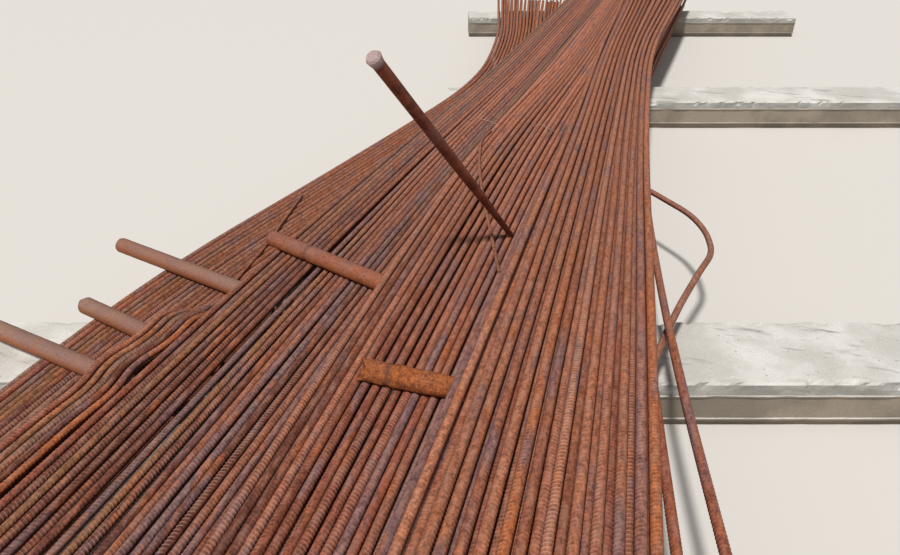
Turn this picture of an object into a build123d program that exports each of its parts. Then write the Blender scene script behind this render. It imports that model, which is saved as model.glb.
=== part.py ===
"""A heap of reinforcing bars on three concrete sleepers, with pipe offcuts laid across as spacers.

Millimetres, +Z up. The bars run along +Y, from their near ends to their far ends, and the heap
rises in steps from its low left side to its straight right side. The origin is the middle of the
underside of the middle sleeper. Each layer of bars lies level on the layer below it, or on the
pipes between them, except for a few bent bars. From above, a bar follows the two edges of its
layer, which are given as places across the heap at six stations along it.
"""

from build123d import *
import math
import os
import random

os.makedirs("parts", exist_ok=True)

# Bars
bar_length = 6000.0
bar_diameter = 18.0
top_bar_diameter = 20.0  # of the two uppermost layers
bar_gap = 0.4  # between two bars that lie side by side or one over the other
seat_gap = 0.3  # between a bar and the pipe or sleeper under it
end_scatter = 45.0  # how far a near end stands before or behind the others
tangent_share = 0.45  # of the shorter run that an arc takes up on each side of a bend

# Pipes laid across the layers
pipe_diameter = 48.3
pipe_wall = 3.2

# Sleepers: a slab cast on a block with a lip at its top and its bottom, on a narrower foot
sleeper_length = 2600.0
sleeper_width = 290.0
slab_height = 39.0
block_height = 81.0
foot_height = 30.0
foot_inset = 18.0
block_inset = 5.0
lip_height = 5.0
slab_chamfer = 6.0
sleeper_turn = 13.6  # degrees from square to the bars, seen from above
sleeper_height = slab_height + block_height + foot_height

# Stations along the heap, near end first
near_end = -3500.0
near_sleeper_y = -2500.0
near_span_y = -1400.0
middle_y = -100.0
far_span_y = 950.0
far_end = 2500.0
stations = (near_end, near_sleeper_y, near_span_y, middle_y, far_span_y, far_end)

# Edges of the layers at those stations, measured across the heap
bottom_left = (-1769.0, -1702.0, -1426.0, -1146.0, -1218.0, -1500.0)
bottom_split = (-1380.0, -1290.0, -1030.0, -750.0, -800.0, -900.0)
bottom_right = (-198.0, -209.0, -229.0, -209.0, -85.0, 100.0)
base_left = (-1745.0, -1690.0, -1440.0, -1155.0, -1190.0, -1460.0)
base_split = (-1400.0, -1320.0, -1092.0, -806.0, -790.0, -860.0)
base_right = (-221.0, -214.0, -209.0, -211.0, -110.0, 75.0)
second_left = (-1419.0, -1345.0, -1216.0, -1052.0, -964.0, -826.0)
second_split = (-925.0, -873.0, -800.0, -655.0, -560.0, -425.0)
second_right = (-211.0, -209.0, -231.0, -209.0, -75.0, 115.0)
third_left = (-936.0, -919.0, -869.0, -691.0, -606.0, -483.0)
third_split = (-600.0, -560.0, -500.0, -380.0, -300.0, -175.0)
third_right = (-244.0, -241.0, -289.0, -270.0, -151.0, 30.0)
top_left = (-613.0, -573.0, -521.0, -481.0, -428.0, -357.0)
top_right = (-195.0, -207.0, -226.0, -205.0, -72.0, 126.0)

# Middle lines of the two bars that leave the heap's right side at its near end
inner_stray = (-137.0, -223.0, -268.0, -249.0, -130.0, 50.0)
outer_stray = (-44.0, -172.0, -244.0, -224.0, -102.0, 80.0)

# Bent bars of the lowest visible step. Near their near ends they lie on the pipe offcuts, at the
# height of the step above and further apart, and they come down beside the last but one. Each
# bend has its place along the heap and its shift across it.
bent_from = 12
bent_count = 5
bent_spread = 3.0  # added to the room between two of them on top of the offcuts
bent_jogs = ((-3120.0, 2.0), (-3010.0, 12.0), (-2915.0, -14.0), (-2805.0, 12.0), (-2690.0, -6.0))
bent_landing = -2510.0  # from here on a bent bar lies in its layer
bent_foot_run = 70.0  # level part of a bent bar before its landing

bar_radius = bar_diameter / 2
pipe_radius = pipe_diameter / 2
top_bar_radius = top_bar_diameter / 2
layer_step = bar_diameter + bar_gap
pipe_step = pipe_diameter + 2 * seat_gap

base_z = sleeper_height + seat_gap + bar_radius
bottom_z = base_z + layer_step
second_z = bottom_z + bar_radius + pipe_step + bar_radius
third_z = second_z + bar_radius + pipe_step + bar_radius
under_top_z = third_z + bar_radius + pipe_step + top_bar_radius
top_z = under_top_z + top_bar_diameter + bar_gap


def on_layer(layer_z, radius):
    """Height of the middle of a round piece that lies on the bars of a layer."""
    return layer_z + bar_radius + seat_gap + radius


def turn_at(before, corner, after):
    """Degrees by which a route turns at a corner."""
    return (corner - before).get_angle(after - corner)


def rounded_route(points):
    """A line through the points, with each bend an arc as large as its two runs allow."""
    corners = [Vector(point) for point in points]
    kept = [corners[0]]
    for corner, after in zip(corners[1:-1], corners[2:]):
        if turn_at(kept[-1], corner, after) > 0.02:
            kept.append(corner)
    kept.append(corners[-1])
    radii = []
    for before, corner, after in zip(kept, kept[1:], kept[2:]):
        shorter_run = min((corner - before).length, (after - corner).length)
        half_turn = math.radians(turn_at(before, corner, after) / 2)
        radii.append(tangent_share * shorter_run / math.tan(half_turn))
    with BuildLine() as route:
        if radii:
            FilletPolyline(*kept, radius=radii)
        else:
            Line(*kept)
    return route.wire()


def round_bar(route, diameter):
    """One solid bar or wire along a route."""
    with BuildPart() as bar:
        with BuildSketch(Plane(origin=route @ 0, z_dir=route % 0)):
            Circle(diameter / 2)
        sweep(path=route)
    return bar.part


def place_at(line, y):
    """Where a line given at the stations lies across the heap at y, run on past its ends."""
    number = 0
    while number < len(stations) - 2 and y > stations[number + 1]:
        number += 1
    share = (y - stations[number]) / (stations[number + 1] - stations[number])
    return line[number] + share * (line[number + 1] - line[number])


def cut_to_length(line, start_y, z):
    """Points of one bar: it starts at start_y and runs along the line for a bar's length."""
    points = [(place_at(line, start_y), start_y, z)]
    left = bar_length
    for x, y in zip(line[1:-1], stations[1:-1]):
        left -= math.dist(points[-1], (x, y, z))
        points.append((x, y, z))
    slope = (line[-1] - line[-2]) / (stations[-1] - stations[-2])
    reach = left / math.hypot(1, slope)
    points.append((line[-2] + slope * reach, stations[-2] + reach, z))
    return points


def share_at(route, y):
    """Share of a route's length that lies before a place along the heap."""
    low, high = 0.0, 1.0
    for _ in range(24):
        middle = (low + high) / 2
        if (route @ middle).Y < y:
            low = middle
        else:
            high = middle
    return low


def bent_route(route, spread):
    """A bar's route, changed so that its near part runs through the bends one step higher."""
    climb = second_z - bottom_z
    points = [route @ 0 + Vector(bent_jogs[0][1] + spread, 0, climb)]
    for y, shift in bent_jogs:
        points.append(route @ share_at(route, y) + Vector(shift + spread, 0, climb))
    landing = share_at(route, bent_landing)
    points.append(route @ landing - route % landing * bent_foot_run)
    points.append(route @ landing)
    near_part = rounded_route(points)
    added = near_part.length - landing * route.length
    with BuildLine() as bent:
        add(near_part)
        add(route.trim(landing, 1 - added / route.length))
    return bent.wire()


def steepest(edge, number):
    """The larger slope of an edge on the two sides of a station."""
    slopes = []
    for first in (number - 1, number):
        if 0 <= first < len(stations) - 1:
            rise = edge[first + 1] - edge[first]
            slopes.append(abs(rise / (stations[first + 1] - stations[first])))
    return max(slopes)


def bar_lines(left_edge, right_edge, count, chance, thick=bar_diameter, open_after=()):
    """Middle lines of bars that fill a strip from its left edge to its right edge.

    What the bars leave free at a station is shared among the gaps between them, unevenly and a
    little differently at each station. The gap after a bar in open_after is a wide slot.
    """
    shares = [chance.uniform(0.2, 1.8) for _ in range(count)]
    lines = [[] for _ in range(count)]
    for number in range(len(stations)):
        slant = max(steepest(left_edge, number), steepest(right_edge, number))
        pitch = (thick + bar_gap) * math.hypot(1, slant)
        free = right_edge[number] - left_edge[number] - count * pitch
        here = [0.75 * share + 0.25 * chance.uniform(0, 2) * min(share, 1) for share in shares]
        for wide in open_after:
            here[wide] = 5.0 if number in (1, 2) else 1.5
        x = left_edge[number] + pitch / 2
        for line, share in zip(lines, here):
            line.append(x)
            x += pitch + free * share / sum(here[:-1])
    return lines


def crossing_lines(lines):
    """Middle lines of bars that each start in a gap between the given lines, pass under one of
    them at the middle station and end in the next gap."""
    first = [2 * here - after for here, after in zip(lines[0], lines[1])]
    last = [2 * here - before for here, before in zip(lines[-1], lines[-2])]
    wider = [first, *lines, last]
    crossing = []
    for before, over, after in zip(wider, wider[1:], wider[2:]):
        near_gap = [(one + other) / 2 for one, other in zip(before, over)]
        far_gap = [(one + other) / 2 for one, other in zip(over, after)]
        crossing.append(near_gap[:3] + [over[3]] + far_gap[4:])
    return crossing


def layer_of(lines, z, thick, chance, bent=()):
    """The bars of one layer, as solids that don't touch."""
    bars = []
    for number, line in enumerate(lines):
        start_y = near_end + chance.uniform(-end_scatter, end_scatter)
        route = rounded_route(cut_to_length(line, start_y, z))
        if number in bent:
            route = bent_route(route, (bent.index(number) + 1 - bent_count) * bent_spread)
        bars += round_bar(route, thick).solids()
    return bars


def save(shape, name):
    """Write one node under its own name."""
    shape.label = name
    export_step(shape, f"parts/{name}.step")


# Six layers of bars, lowest first
chance = random.Random(11)
base_lines = bar_lines(base_left, base_split, 16, chance)
base_lines += bar_lines(base_split, base_right, 24, chance)
bottom_lines = bar_lines(bottom_left, bottom_split, 20, chance)
bottom_lines += bar_lines(bottom_split, bottom_right, 26, chance)
second_lines = bar_lines(second_left, second_split, 21, chance, open_after=(6,))
second_lines += bar_lines(second_split, second_right, 22, chance)
third_lines = bar_lines(third_left, third_split, 16, chance)
third_lines += bar_lines(third_split, third_right, 5, chance)
third_lines += [inner_stray, outer_stray]
top_lines = bar_lines(top_left, top_right, 13, chance, top_bar_diameter)
bent = range(bent_from, bent_from + bent_count)
save(Compound(layer_of(base_lines, base_z, bar_diameter, chance)), "bars_layer_1")
save(Compound(layer_of(bottom_lines, bottom_z, bar_diameter, chance, bent)), "bars_layer_2")
save(Compound(layer_of(second_lines, second_z, bar_diameter, chance)), "bars_layer_3")
save(Compound(layer_of(third_lines, third_z, bar_diameter, chance)), "bars_layer_4")
under_top_lines = crossing_lines(top_lines)
save(Compound(layer_of(under_top_lines, under_top_z, top_bar_diameter, chance)), "bars_layer_5")
save(Compound(layer_of(top_lines, top_z, top_bar_diameter, chance)), "bars_layer_6")


# Pipe offcuts between the layers: left end, right end and the layer that each lies on
pipes = {
    "pipe_offcut_left": ((-2040.0, -2791.0), (-1250.0, -2984.0), bottom_z),
    "pipe_offcut_short": ((-1743.0, -2670.0), (-1250.0, -2827.0), bottom_z),
    "pipe_offcut_low": ((-1859.0, -2338.0), (-1130.0, -2565.0), bottom_z),
    "pipe_spacer_middle_bottom": ((-1020.0, -262.0), (-230.0, -70.0), bottom_z),
    "pipe_spacer_far_bottom": ((-800.0, 1945.0), (20.0, 2144.0), bottom_z),
    "pipe_spacer_near_lower": ((-1343.0, -2291.0), (-230.0, -2755.0), second_z),
    "pipe_spacer_middle_lower": ((-660.0, -172.0), (-220.0, -67.0), second_z),
    "pipe_spacer_far_lower": ((-495.0, 2014.0), (30.0, 2140.0), second_z),
    "pipe_spacer_near_upper": ((-833.0, -2911.0), (-225.0, -2956.0), third_z),
    "pipe_spacer_middle_upper": ((-455.0, -128.0), (-225.0, -70.0), third_z),
    "pipe_spacer_far_upper": ((-370.0, 2044.0), (40.0, 2143.0), third_z),
}
for name, (left_end, right_end, layer_z) in pipes.items():
    height = on_layer(layer_z, pipe_radius)
    start = Vector(*left_end, height)
    run = Vector(*right_end, height) - start
    with BuildPart() as pipe:
        with BuildSketch(Plane(origin=start, z_dir=run)):
            Circle(pipe_radius)
            Circle(pipe_radius - pipe_wall, mode=Mode.SUBTRACT)
        extrude(amount=run.length)
    save(pipe.part, name)


# Sleepers: middle of each on the floor
sleepers = {
    "sleeper_near": (-680.0, -2547.0),
    "sleeper_middle": (0.0, 0.0),
    "sleeper_far": (-350.0, 2130.0),
}
half_width = sleeper_width / 2
foot_half = half_width - foot_inset
block_half = half_width - block_inset
block_top = foot_height + block_height
for name, place in sleepers.items():
    ground = Plane(origin=(*place, 0), z_dir=(0, 0, 1)).rotated((0, 0, sleeper_turn))
    section = Plane(origin=ground.origin, x_dir=ground.y_dir, z_dir=ground.x_dir)
    with BuildPart() as sleeper:
        with BuildSketch(section):
            with BuildLine():
                Polyline(
                    (0, 0),
                    (foot_half, 0),
                    (foot_half, foot_height),
                    (half_width, foot_height),
                    (half_width, foot_height + lip_height),
                    (block_half, foot_height + lip_height),
                    (block_half, block_top - lip_height),
                    (half_width, block_top - lip_height),
                    (half_width, block_top),
                    (block_half, block_top),
                    (block_half, sleeper_height - slab_chamfer),
                    (block_half - slab_chamfer, sleeper_height),
                    (0, sleeper_height),
                    close=True,
                )
            make_face()
            mirror(about=Plane.YZ)
        extrude(amount=sleeper_length / 2, both=True)
    save(sleeper.part, name)


# A bar bent back on itself at the right side, with both legs held between two layers
loop_z = on_layer(second_z, bar_radius)
loop_route = (
    (-465.0, -1490.0, loop_z),
    (-331.0, -1529.0, loop_z),
    (-220.0, -1599.0, loop_z),
    (-68.0, -1784.0, loop_z),
    (-25.0, -1899.0, loop_z),
    (-13.0, -2039.0, loop_z),
    (-57.0, -2159.0, loop_z),
    (-120.0, -2357.0, loop_z),
    (-154.0, -2484.0, loop_z),
    (-193.0, -2640.0, loop_z),
)
save(round_bar(rounded_route(loop_route), bar_diameter), "loop_bar")


# A steel stake, hammered flat at its head, that leans with its point on the third layer
stake_foot_x = -607.0
stake_foot_y = -2176.0
stake_lift = 0.3  # of its point from the bars' tops
stake_head_x = -856.0
stake_head_y = -2630.0
stake_head_z = 950.0
stake_point = Vector(stake_foot_x, stake_foot_y, third_z + bar_radius + stake_lift)
stake_head = Vector(stake_head_x, stake_head_y, stake_head_z)
stake_diameter = 32.0
stake_tip = 18.0
stake_taper = 330.0
stake_head_diameter = 41.0
stake_head_height = 14.0
stake_length = (stake_head - stake_point).length
with BuildPart() as stake:
    with BuildSketch(Plane(origin=(0, 0, 0), x_dir=(1, 0, 0), z_dir=(0, -1, 0))):
        with BuildLine():
            Polyline(
                (0, 0),
                (stake_tip / 2 - 4, 0),
                (stake_tip / 2, 5),
                (stake_diameter / 2, stake_taper),
                (stake_diameter / 2, stake_length - stake_head_height - 8),
                (stake_head_diameter / 2, stake_length - stake_head_height),
                (stake_head_diameter / 2, stake_length - 5),
                (stake_head_diameter / 2 - 6, stake_length),
                (0, stake_length),
                close=True,
            )
        make_face()
    revolve(axis=Axis.Z)
stake_plane = Plane(origin=stake_point, z_dir=stake_head - stake_point)
save(stake_plane * stake.part, "stake")


# Thin bent rods that lie on the heap
rod_diameter = 10.0
rod_on_third = on_layer(third_z, rod_diameter / 2)
long_rod_route = (
    (-838.0, -1313.0, rod_on_third),
    (-857.0, -1424.0, rod_on_third),
    (-820.0, -1648.0, rod_on_third),
    (-775.0, -1831.0, rod_on_third),
    (-733.0, -1985.0, rod_on_third),
    (-670.0, -2197.0, rod_on_third),
    (-608.0, -2403.0, rod_on_third),
)
save(round_bar(rounded_route(long_rod_route), rod_diameter), "thin_rod_long")

rod_on_bottom = on_layer(bottom_z, rod_diameter / 2)
short_rod_route = (
    (-1465.0, -1809.0, rod_on_bottom),
    (-1446.0, -2000.0, rod_on_bottom),
    (-1420.0, -2200.0, rod_on_bottom),
    (-1412.0, -2420.0, rod_on_bottom),
)
save(round_bar(rounded_route(short_rod_route), rod_diameter), "thin_rod_short")


# Snippets of tying wire that lie on the heap: the layer under each, then its places from above
wire_diameter = 3.0
tie_wires = {
    "tie_wire_1": (third_z, ((-690, -1218), (-658, -1172), (-623, -1215), (-583, -1251))),
    "tie_wire_2": (second_z, ((-950, -980), (-912, -993), (-872, -1024), (-833, -1070))),
    "tie_wire_3": (bottom_z, ((-1584, -3117), (-1515, -3158), (-1476, -3180))),
    "tie_wire_4": (bottom_z, ((-1536, -2985), (-1512, -3010), (-1484, -3022))),
}
for name, (layer_z, places) in tie_wires.items():
    height = on_layer(layer_z, wire_diameter / 2)
    wire_route = rounded_route([(x, y, height) for x, y in places])
    save(round_bar(wire_route, wire_diameter), name)
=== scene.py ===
"""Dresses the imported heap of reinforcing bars: ribbed bars, scaly pipes, chipped sleepers and a
stake with a battered head.

Every new piece is a surface worked out as numpy arrays, and stands where its CAD node stands.
Lengths are in metres.
"""

import math

import bpy
import numpy as np
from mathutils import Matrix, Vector


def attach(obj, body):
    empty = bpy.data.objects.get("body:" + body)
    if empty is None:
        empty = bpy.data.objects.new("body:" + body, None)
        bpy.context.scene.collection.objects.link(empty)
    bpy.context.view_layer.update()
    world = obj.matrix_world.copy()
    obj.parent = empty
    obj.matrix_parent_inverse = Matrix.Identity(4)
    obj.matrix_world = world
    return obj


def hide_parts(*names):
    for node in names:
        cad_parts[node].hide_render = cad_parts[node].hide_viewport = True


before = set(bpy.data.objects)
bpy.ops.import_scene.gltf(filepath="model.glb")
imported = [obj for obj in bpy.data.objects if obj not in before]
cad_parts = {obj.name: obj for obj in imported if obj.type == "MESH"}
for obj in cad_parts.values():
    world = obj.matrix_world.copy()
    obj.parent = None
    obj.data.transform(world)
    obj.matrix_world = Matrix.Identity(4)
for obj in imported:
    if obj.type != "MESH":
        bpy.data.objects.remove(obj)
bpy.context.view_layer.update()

# The photograph's view
PHOTO_WIDTH = 900
FOCAL_PIXELS = 706
CAMERA_PLACE = (-0.35, -4.042, 1.32)
CAMERA_TILT = 31.5
CAMERA_TURN = 13.6

# Bars, as in the CAD model, and their ribs
BAR_RADIUS = 0.009
TOP_BAR_RADIUS = 0.010
BAR_SIDES = 10
RIB_PITCH = 0.0086
RIB_WIDTH = 0.0036
RIB_HEIGHT = 0.0008
RIB_SLANT = 0.0036  # how far a rib's two ends stand before and behind its middle
CRESCENT_POWER = 0.7  # below 1, a rib keeps its height until close to the seams
SEAM_HEIGHT = 0.0006
CUT_END_SHARE = 0.97  # of the radius, at a bar's ends
COARSE_STEP = 0.11  # between the rings past the ribbed part
RIBBED_REACH = 0.95  # from a bar's near end, where its real ribs stop
TINT_REACH = 3.0  # from a bar's near end, where its far colour is reached
HEIGHT_WANDER = 0.0025
BRIGHTNESS = (0.80, 1.16)  # how much darker and lighter than its colour a bar can be

# How the middle lines of the bars are read from their solids
COUNTED_AT = -2.542  # along the heap, where the bars are counted from left to right
BENT_UNTIL = -2.4  # along the heap, past the last bend of the bent bars
BENT_RISE = 0.03  # a bar that rises further than this is a bent one
BENT_CUT_STEP = 0.012
CUT_STEP = 0.06
FAR_CUTS = 76
END_INSET = 0.006
SLOPE_REACH = 0.012  # before and behind a ring, over which its slope is taken

# The bar bent back on itself: its places from above, as in the CAD model
LOOP_PLACES = (
    (-0.465, -1.490), (-0.331, -1.529), (-0.220, -1.599), (-0.068, -1.784), (-0.025, -1.899),
    (-0.013, -2.039), (-0.057, -2.159), (-0.120, -2.357), (-0.154, -2.484), (-0.193, -2.640),
)
LOOP_RIBBED_REACH = 1.5
BEND_SHARE = 0.45  # of the shorter run beside a bend that the bend takes up
BEND_POINTS = 9

# Pipes, as in the CAD model, and their scale, grooves and the burr beside a groove
PIPE_RADIUS = 0.02415
PIPE_WALL = 0.0032
PIPE_SIDES = 36
PIPE_STEP = 0.007
BORE_RINGS = 9
SCALE_THICKNESS = 0.0012
WIDE_BLISTER = 0.0007  # height of those three centimetres wide
SMALL_BLISTER = 0.0005  # height of those one centimetre wide
GROOVE_DEPTH = 0.0030
GROOVE_REACH = 0.005
GROOVE_STAIN_REACH = 0.008
BURR_HEIGHT = 0.0022
BURR_PLACE = 0.013
BURR_REACH = 0.006

# The stake, and the dents of its shaft and head as shares of the radius
STAKE_SIDES = 32
STAKE_STEP = 0.008
STAKE_TAPER = 0.33
STAKE_HEAD = 0.03
STAKE_HEAD_RINGS = 14
SHAFT_DENTS = 0.02
HEAD_DENTS = 0.09
HEAD_SETBACK = 0.0035  # how far hammering has driven parts of the head down

# Sleepers, as in the CAD model, and their wear
SLEEPER_WIDTH = 0.29
SLEEPER_LENGTH = 2.6
FOOT_HEIGHT = 0.03
BLOCK_HEIGHT = 0.081
SLAB_HEIGHT = 0.039
FOOT_INSET = 0.018
BLOCK_INSET = 0.005
LIP_HEIGHT = 0.005
SLAB_CHAMFER = 0.006
SLEEPER_TURN = 13.6
BLOCK_TOP = FOOT_HEIGHT + BLOCK_HEIGHT
SLEEPER_TOP = BLOCK_TOP + SLAB_HEIGHT
SECTION_STEP = 0.013
SLEEPER_STEP = 0.014
CHIP_REACH = 0.03  # from the slab's upper edges
CHIP_SIDE_DEPTH = 0.014
CHIP_TOP_DEPTH = 0.010
LIP_WEAR = 0.006
FACE_WEAR = 0.0012


def linear(red, green, blue):
    """A colour written as 0 to 255 sRGB, made linear."""
    share = np.array((red, green, blue)) / 255
    low = share / 12.92
    high = ((share + 0.055) / 1.055) ** 2.4
    return tuple(float(value) for value in np.where(share <= 0.04045, low, high))


# Rust and scale colours
ORANGE_RUST = linear(174, 104, 62)
LIGHT_RUST = linear(174, 117, 90)
PALE_RUST = linear(192, 130, 104)
BROWN_RUST = linear(160, 103, 80)
RED_RUST = linear(146, 85, 66)
DARK_RUST = linear(112, 66, 54)
PURPLE_RUST = linear(154, 108, 99)
PURPLE_SCALE = linear(128, 98, 100)
BLUE_SCALE = linear(118, 99, 104)
GREY_BROWN = linear(142, 111, 96)
MUD = linear(150, 108, 76)
MILL_SCALE = linear(122, 102, 112)
RUST_GRAIN = linear(206, 150, 116)
# Pale dust with a painted highlight, for the rib crests
CREST_DUST_AND_HIGHLIGHT = linear(204, 168, 152)
DUST = linear(192, 150, 130)
PIT = linear(58, 24, 18)
GREY_SKIN = linear(148, 120, 106)
BROWN_SKIN = linear(146, 106, 92)
SKIN_ORANGE = linear(160, 104, 76)


# Meshes

def make_piece(name, vertices, quads, caps=(), smooth=True):
    """A mesh object from arrays: vertices (n, 3), quads (m, 4) and caps, each a ring of corners.
    The caps stay flat."""
    mesh = bpy.data.meshes.new(name)
    corners = quads.reshape(-1)
    starts = np.arange(len(quads)) * 4
    totals = np.full(len(quads), 4)
    if len(caps):
        caps = np.asarray(caps)
        ring = caps.shape[1]
        starts = np.concatenate([starts, len(corners) + np.arange(len(caps)) * ring])
        totals = np.concatenate([totals, np.full(len(caps), ring)])
        corners = np.concatenate([corners, caps.reshape(-1)])
    mesh.vertices.add(len(vertices))
    mesh.vertices.foreach_set("co", np.ascontiguousarray(vertices, np.float32).reshape(-1))
    mesh.loops.add(len(corners))
    mesh.loops.foreach_set("vertex_index", corners.astype(np.int32))
    mesh.polygons.add(len(starts))
    mesh.polygons.foreach_set("loop_start", starts.astype(np.int32))
    mesh.polygons.foreach_set("loop_total", totals.astype(np.int32))
    flags = np.full(len(starts), smooth)
    flags[len(quads):] = False
    mesh.polygons.foreach_set("use_smooth", flags)
    mesh.update(calc_edges=True)
    mesh.validate()
    piece = bpy.data.objects.new(name, mesh)
    bpy.context.scene.collection.objects.link(piece)
    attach(piece, "root")
    return piece


def set_value(piece, name, values):
    """One number for each vertex, for the materials."""
    layer = piece.data.attributes.new(name, "FLOAT", "POINT")
    layer.data.foreach_set("value", np.ascontiguousarray(values, np.float32).reshape(-1))


def set_colour(piece, name, values):
    """One colour for each vertex, for the materials."""
    layer = piece.data.attributes.new(name, "FLOAT_COLOR", "POINT")
    rgba = np.concatenate([values, np.ones((len(values), 1))], axis=1)
    layer.data.foreach_set("color", np.ascontiguousarray(rgba, np.float32).reshape(-1))


def ring_quads(rings, sides, closed=False):
    """Corners of the faces between neighbouring rings of a tube. closed joins its last ring to its
    first."""
    first = np.arange(rings if closed else rings - 1)[:, None]
    side = np.arange(sides)[None, :]
    here = first * sides
    there = ((first + 1) % rings) * sides
    beside = (side + 1) % sides
    quads = np.stack([here + side, here + beside, there + beside, there + side], axis=-1)
    return quads.reshape(-1, 4)


def lattice_noise(points, cell, seed):
    """Smooth noise from -1 to 1: scrambled numbers at the corners of a grid of cubes, blended
    between them."""
    grid = np.asarray(points, float) / cell
    base = np.floor(grid).astype(np.int64)
    share = grid - base
    share = share * share * (3 - 2 * share)
    total = np.zeros(grid.shape[:-1])
    for dx in (0, 1):
        for dy in (0, 1):
            for dz in (0, 1):
                corner = base + (dx, dy, dz)
                number = corner[..., 0] * 374761393 + corner[..., 1] * 668265263
                number = number + corner[..., 2] * 2147483647 + seed * 974634777
                number = (number ^ (number >> 13)) * 1274126177
                number = (number ^ (number >> 16)) & 0xFFFF
                weight = np.abs(1 - dx - share[..., 0]) * np.abs(1 - dy - share[..., 1])
                weight = weight * np.abs(1 - dz - share[..., 2])
                total += weight * (number / 32767.5 - 1)
    return total


# Places read from the CAD nodes

def node_mesh(name):
    """Merged vertices and unique edges of a CAD node."""
    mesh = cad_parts[name].data
    places = np.empty(len(mesh.vertices) * 3, np.float32)
    mesh.vertices.foreach_get("co", places)
    edges = np.empty(len(mesh.edges) * 2, np.int32)
    mesh.edges.foreach_get("vertices", edges)
    rounded = np.round(places.reshape(-1, 3).astype(float), 5)
    merged, index = np.unique(rounded, axis=0, return_inverse=True)
    edges = np.unique(np.sort(index.reshape(-1)[edges.reshape(-1, 2)], axis=1), axis=0)
    return merged, edges


def solids_of(vertices, edges):
    """A label for each vertex, the same for all vertices of one solid."""
    label = np.arange(len(vertices))
    while True:
        low = np.minimum(label[edges[:, 0]], label[edges[:, 1]])
        new = label.copy()
        np.minimum.at(new, edges[:, 0], low)
        np.minimum.at(new, edges[:, 1], low)
        new = new[new]
        if (new == label).all():
            return label
        label = new


def middle_lines(node, bar_radius):
    """Middle line of each bar of a node, from left to right: the middle of the box round each cut
    through the solid square to Y, at close steps along the bends of a bent bar and wide ones
    elsewhere, run on to the bar's ends."""
    vertices, edges = node_mesh(node)
    label = solids_of(vertices, edges)
    lines = []
    for one in np.unique(label):
        mine = label == one
        places = vertices[mine]
        own_edges = vertices[edges[mine[edges[:, 0]]]]
        low, high = places[:, 1].min(), places[:, 1].max()
        step = BENT_CUT_STEP if np.ptp(places[:, 2]) > BENT_RISE else CUT_STEP
        near_cuts = np.arange(low + END_INSET, BENT_UNTIL, step)
        far_cuts = np.linspace(BENT_UNTIL, high - END_INSET, FAR_CUTS)
        middles = []
        for y in np.concatenate([near_cuts, far_cuts]):
            crossing = (own_edges[:, 0, 1] - y) * (own_edges[:, 1, 1] - y) < 0
            first, second = own_edges[crossing, 0], own_edges[crossing, 1]
            share = (y - first[:, 1]) / (second[:, 1] - first[:, 1])
            cut = first + share[:, None] * (second - first)
            middles.append((cut.min(axis=0) + cut.max(axis=0)) / 2)
        middles = np.array(middles)
        for end, inner, y in ((0, 1, low), (-1, -2, high)):
            slope = (middles[end, 0] - middles[inner, 0]) / (middles[end, 1] - middles[inner, 1])
            setback = bar_radius * math.sin(math.atan(abs(slope)))
            edge_y = y + setback if end == 0 else y - setback
            middles[end, 0] += slope * (edge_y - middles[end, 1])
            middles[end, 1] = edge_y
        lines.append(middles)
    return sorted(lines, key=lambda line: np.interp(COUNTED_AT, line[:, 1], line[:, 0]))


def long_axis(node):
    """Both ends of the axis of a straight round node, from the spread of its vertices."""
    vertices, _ = node_mesh(node)
    middle = (vertices.min(axis=0) + vertices.max(axis=0)) / 2
    _, vectors = np.linalg.eigh(np.cov((vertices - middle).T))
    axis = vectors[:, -1]
    along = (vertices - middle) @ axis
    return middle + axis * along.min(), middle + axis * along.max()


# Bars

def ring_places(length, ribbed_to, offset):
    """Distances of a bar's rings along it, how high each stands and whether it is one of the three
    rings of a rib: its foot, its crest and its foot again. Past the ribbed part the rings are far
    apart, and the ribs are left to bump."""
    places, heights, of_rib = [0.0], [0.0], [0.0]
    last = math.floor((ribbed_to - offset) / RIB_PITCH)
    if last > 1:
        ribs = offset + np.arange(1, last) * RIB_PITCH
        rows = ribs[:, None] + np.array([-0.5, 0.0, 0.5]) * RIB_WIDTH
        places += rows.reshape(-1).tolist()
        heights += np.tile([0.0, 1.0, 0.0], len(ribs)).tolist()
        of_rib += [1.0] * rows.size
    start = places[-1] + RIB_PITCH
    steps = max(2, int((length - start) / COARSE_STEP))
    places += np.linspace(start, length, steps).tolist()
    heights += [0.0] * steps
    of_rib += [0.0] * steps
    return np.array(places), np.array(heights), np.array(of_rib)


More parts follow.
